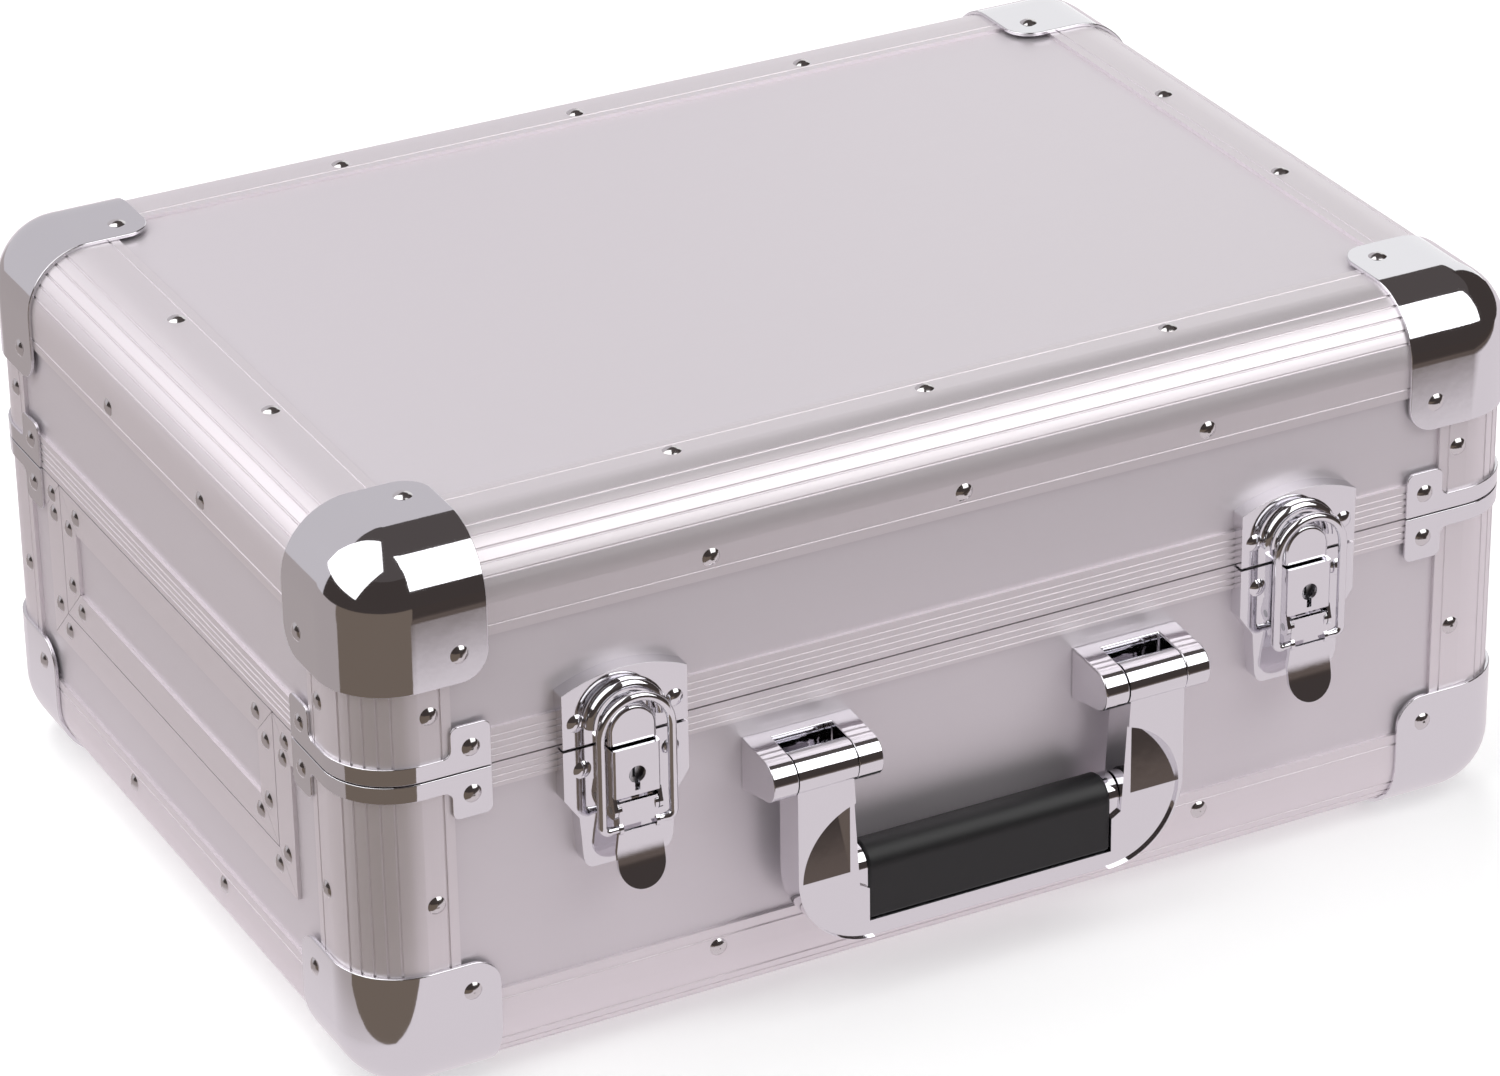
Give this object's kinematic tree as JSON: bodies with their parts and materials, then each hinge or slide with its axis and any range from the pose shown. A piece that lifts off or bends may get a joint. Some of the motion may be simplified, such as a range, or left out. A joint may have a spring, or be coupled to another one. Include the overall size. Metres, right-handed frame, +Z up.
{
  "type": "flight case with draw latches and hinged lid",
  "caption": "Aluminium-edged flight case for a table-top player, with a hinged lid, draw latches, ball corners, a folding handle and a cable panel in one side.",
  "frame": {"origin": "centre of the bounding box in plan, on the plane of the undersides of the lower ball corners", "axes": "+X along the handle side to its right end, +Y from the handle side to the hinge side, +Z up through the lid"},
  "size_m": [0.486, 0.376, 0.2212],
  "materials": {
    "aluminium_profile": "satin anodised extrusion",
    "aluminium_sheet": "satin rolled sheet",
    "plywood": "bare plywood, hidden between the sheet and the lining",
    "chrome": "bright chrome plate",
    "rivet_steel": "plated rivet heads",
    "hinge_steel": "zinc plated",
    "foam": "dark foam lining",
    "grip_plastic": "black moulded grip",
    "foot_rubber": "black rubber"
  },
  "bodies": {
    "base": {"base_bottom_board": "plywood", "base_front_board": "plywood", "base_back_board": "plywood", "base_left_board": "plywood", "base_right_board": "plywood", "base_skins": "aluminium_sheet", "base_front_edge": "aluminium_profile", "base_back_edge": "aluminium_profile", "base_left_edge": "aluminium_profile", "base_right_edge": "aluminium_profile", "base_posts": "aluminium_profile", "base_rims": "aluminium_profile", "base_ball_corners": "chrome", "base_seam_clamps": "chrome", "base_rivets": "rivet_steel", "base_lining": "foam", "base_feet": "foot_rubber", "cable_frame": "aluminium_profile", "left_hinge_base_leaf": "hinge_steel", "right_hinge_base_leaf": "hinge_steel", "hinge_pins": "hinge_steel", "left_handle_mount": "chrome", "right_handle_mount": "chrome", "handle_pins": "hinge_steel", "left_latch_base": "chrome", "right_latch_base": "chrome", "latch_pins": "hinge_steel", "latch_locks": "hinge_steel"},
    "lid": {"lid_top_board": "plywood", "lid_front_board": "plywood", "lid_back_board": "plywood", "lid_left_board": "plywood", "lid_right_board": "plywood", "lid_skins": "aluminium_sheet", "lid_front_edge": "aluminium_profile", "lid_back_edge": "aluminium_profile", "lid_left_edge": "aluminium_profile", "lid_right_edge": "aluminium_profile", "lid_posts": "aluminium_profile", "lid_rims": "aluminium_profile", "lid_ball_corners": "chrome", "lid_seam_clamps": "chrome", "lid_rivets": "rivet_steel", "lid_lining": "foam", "lid_feet": "foot_rubber", "left_hinge_lid_leaf": "hinge_steel", "right_hinge_lid_leaf": "hinge_steel", "left_latch_strike": "chrome", "right_latch_strike": "chrome"},
    "handle": {"handle_bow": "chrome", "handle_grip": "grip_plastic"},
    "left_lever": {"left_latch_lever": "chrome"},
    "right_lever": {"right_latch_lever": "chrome"},
    "left_bail": {"left_latch_bail": "chrome"},
    "right_bail": {"right_latch_bail": "chrome"},
    "cable_panel": {"cable_panel_board": "plywood", "cable_panel_skin": "aluminium_sheet", "cable_panel_strips": "aluminium_profile", "cable_panel_rivets": "rivet_steel"}
  },
  "joints": [
    {"name": "lid_hinge", "type": "hinge", "parent": "base", "child": "lid", "pos_m": [0, 0.17995, 0.1309], "axis": [-1, 0, 0], "range_deg": [0, 100]},
    {"name": "handle_fold", "type": "hinge", "parent": "base", "child": "handle", "pos_m": [0, -0.18, 0.1042], "axis": [-1, 0, 0], "range_deg": [0, 105]},
    {"name": "left_lever_pivot", "type": "hinge", "parent": "base", "child": "left_lever", "pos_m": [-0.1385, -0.175, 0.1061], "axis": [-1, 0, 0], "range_deg": [0, 95]},
    {"name": "right_lever_pivot", "type": "hinge", "parent": "base", "child": "right_lever", "pos_m": [0.1385, -0.175, 0.1061], "axis": [-1, 0, 0], "range_deg": [0, 95]},
    {"name": "left_bail_pivot", "type": "hinge", "parent": "left_lever", "child": "left_bail", "pos_m": [-0.1385, -0.1772, 0.0992], "axis": [1, 0, 0], "range_deg": [0, 114]},
    {"name": "right_bail_pivot", "type": "hinge", "parent": "right_lever", "child": "right_bail", "pos_m": [0.1385, -0.1772, 0.0992], "axis": [1, 0, 0], "range_deg": [0, 114]},
    {"name": "cable_panel_lift", "type": "slide", "parent": "base", "child": "cable_panel", "axis": [0, 0, 1], "range_m": [0, 0.055]}
  ],
  "couplings": [
    {"joint": "left_bail_pivot", "follows": "left_lever_pivot", "ratio": 1.2},
    {"joint": "right_bail_pivot", "follows": "right_lever_pivot", "ratio": 1.2},
    {"joint": "cable_panel_lift", "follows": "lid_hinge", "m_per_rad": 0.0315}
  ]
}
